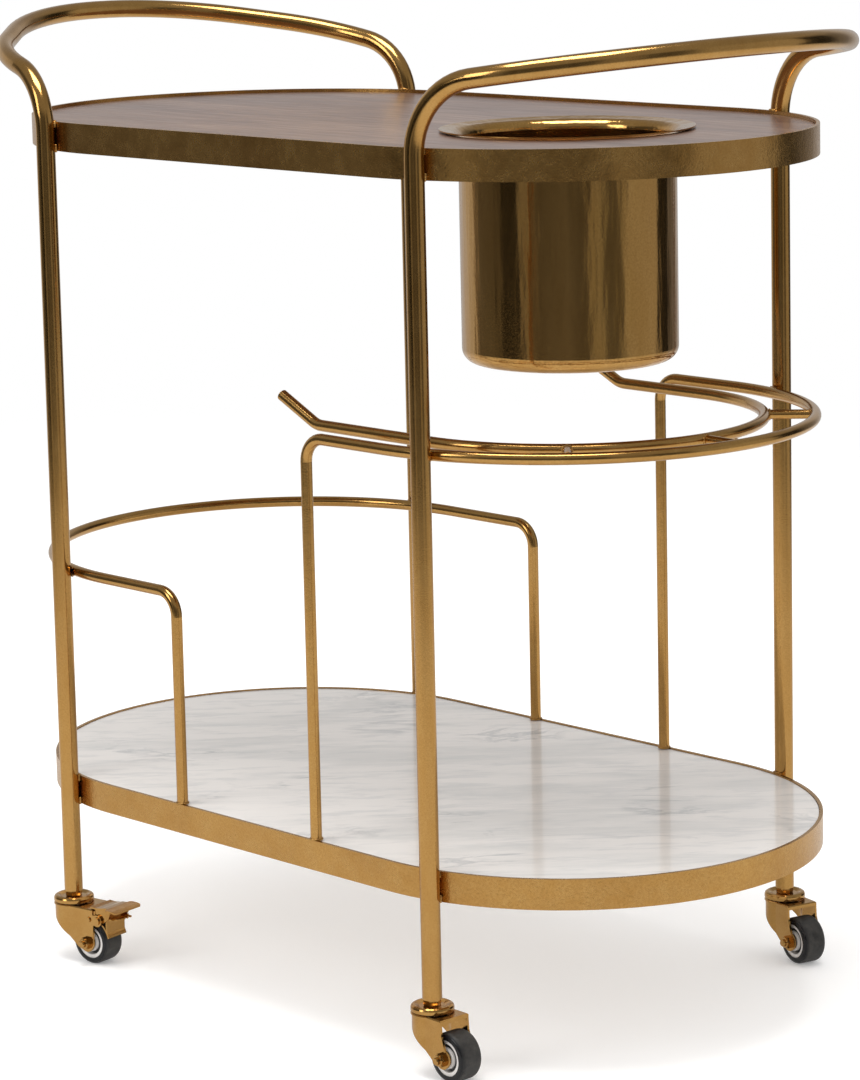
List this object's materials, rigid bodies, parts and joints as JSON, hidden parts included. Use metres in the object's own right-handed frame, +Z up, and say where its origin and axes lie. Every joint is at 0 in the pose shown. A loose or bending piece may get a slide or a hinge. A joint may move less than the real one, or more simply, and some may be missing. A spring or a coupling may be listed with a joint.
{
  "type": "bar cart",
  "caption": "Oval tiered bar cart with a lift-out ice bucket set in its wood top, a marble shelf, gallery rails, a stemware rack, looped handles and swivel casters.",
  "frame": {"origin": "on the floor under the centre of the trays, midway between the legs", "axes": "+X along the cart's length towards the ice bucket's end, +Y across it, +Z up"},
  "size_m": [0.8338, 0.4651, 0.8204],
  "materials": {
    "satin_brass": "satin, hand-worn antique brass plate on steel",
    "bright_brass": "brushed and polished",
    "caster_brass": "bright plated",
    "wood_top": "semi-gloss lacquered, grey-brown stain",
    "marble": "polished white marble with grey veins",
    "rubber_pad": "matt",
    "tyre": "matt",
    "wheel_core": "satin",
    "steel": "bright",
    "dark_plastic": "matt"
  },
  "bodies": {
    "cart": {"back_left_race_plate": "caster_brass", "back_left_stem": "caster_brass", "back_right_race_plate": "caster_brass", "back_right_stem": "caster_brass", "front_left_race_plate": "caster_brass", "front_left_stem": "caster_brass", "front_right_race_plate": "caster_brass", "front_right_stem": "caster_brass", "high_gallery_rail": "satin_brass", "left_end_frame": "satin_brass", "leg_plugs": "dark_plastic", "low_gallery_rail": "satin_brass", "lower_support_straps": "satin_brass", "lower_tray_band": "satin_brass", "marble_pads": "rubber_pad", "marble_shelf": "marble", "right_end_frame": "satin_brass", "stemware_rack": "satin_brass", "stemware_rack_stubs": "satin_brass", "upper_support_straps": "satin_brass", "upper_tray_band": "satin_brass", "wood_top": "wood_top", "wood_top_screws": "steel"},
    "bucket": {"ice_bucket": "bright_brass"},
    "front_left_swivel": {"front_left_fork": "caster_brass", "front_left_race_balls": "steel", "front_left_axle_bolt": "caster_brass", "front_left_axle_nut": "caster_brass", "front_left_brake_pin": "caster_brass"},
    "front_left_wheel": {"front_left_wheel_core": "wheel_core", "front_left_tyre": "tyre", "front_left_wheel_bearings": "steel"},
    "front_left_brake": {"front_left_brake_pedal": "caster_brass", "front_left_brake_shoe": "steel"},
    "front_right_swivel": {"front_right_fork": "caster_brass", "front_right_race_balls": "steel", "front_right_axle_bolt": "caster_brass", "front_right_axle_nut": "caster_brass"},
    "front_right_wheel": {"front_right_wheel_core": "wheel_core", "front_right_tyre": "tyre", "front_right_wheel_bearings": "steel"},
    "back_right_swivel": {"back_right_fork": "caster_brass", "back_right_race_balls": "steel", "back_right_axle_bolt": "caster_brass", "back_right_axle_nut": "caster_brass"},
    "back_right_wheel": {"back_right_wheel_core": "wheel_core", "back_right_tyre": "tyre", "back_right_wheel_bearings": "steel"},
    "back_left_swivel": {"back_left_fork": "caster_brass", "back_left_race_balls": "steel", "back_left_axle_bolt": "caster_brass", "back_left_axle_nut": "caster_brass", "back_left_brake_pin": "caster_brass"},
    "back_left_wheel": {"back_left_wheel_core": "wheel_core", "back_left_tyre": "tyre", "back_left_wheel_bearings": "steel"},
    "back_left_brake": {"back_left_brake_pedal": "caster_brass", "back_left_brake_shoe": "steel"}
  },
  "joints": [
    {"name": "bucket_lift", "type": "slide", "parent": "cart", "child": "bucket", "axis": [0, 0, 1], "range_m": [0, 0.25]},
    {"name": "front_left_swivel", "type": "hinge", "parent": "cart", "child": "front_left_swivel", "pos_m": [-0.2273, -0.21148, 0.05], "axis": [0, 0, 1], "continuous": true},
    {"name": "front_left_spin", "type": "hinge", "parent": "front_left_swivel", "child": "front_left_wheel", "pos_m": [-0.20063, -0.20726, 0.02], "axis": [-0.1564, 0.9877, 0], "continuous": true},
    {"name": "front_left_brake", "type": "hinge", "parent": "front_left_swivel", "child": "front_left_brake", "pos_m": [-0.18819, -0.20529, 0.0415], "axis": [-0.1564, 0.9877, 0], "range_deg": [0, 8]},
    {"name": "front_right_swivel", "type": "hinge", "parent": "cart", "child": "front_right_swivel", "pos_m": [0.2273, -0.21148, 0.05], "axis": [0, 0, 1], "continuous": true},
    {"name": "front_right_spin", "type": "hinge", "parent": "front_right_swivel", "child": "front_right_wheel", "pos_m": [0.25428, -0.21243, 0.02], "axis": [0.0349, 0.9994, 0], "continuous": true},
    {"name": "back_right_swivel", "type": "hinge", "parent": "cart", "child": "back_right_swivel", "pos_m": [0.2273, 0.21148, 0.05], "axis": [0, 0, 1], "continuous": true},
    {"name": "back_right_spin", "type": "hinge", "parent": "back_right_swivel", "child": "back_right_wheel", "pos_m": [0.2535, 0.20495, 0.02], "axis": [0.2419, 0.9703, 0], "continuous": true},
    {"name": "back_left_swivel", "type": "hinge", "parent": "cart", "child": "back_left_swivel", "pos_m": [-0.2273, 0.21148, 0.05], "axis": [0, 0, 1], "continuous": true},
    {"name": "back_left_spin", "type": "hinge", "parent": "back_left_swivel", "child": "back_left_wheel", "pos_m": [-0.2003, 0.21148, 0.02], "axis": [0, 1, 0], "continuous": true},
    {"name": "back_left_brake", "type": "hinge", "parent": "back_left_swivel", "child": "back_left_brake", "pos_m": [-0.1877, 0.21148, 0.0415], "axis": [0, 1, 0], "range_deg": [0, 8]}
  ]
}
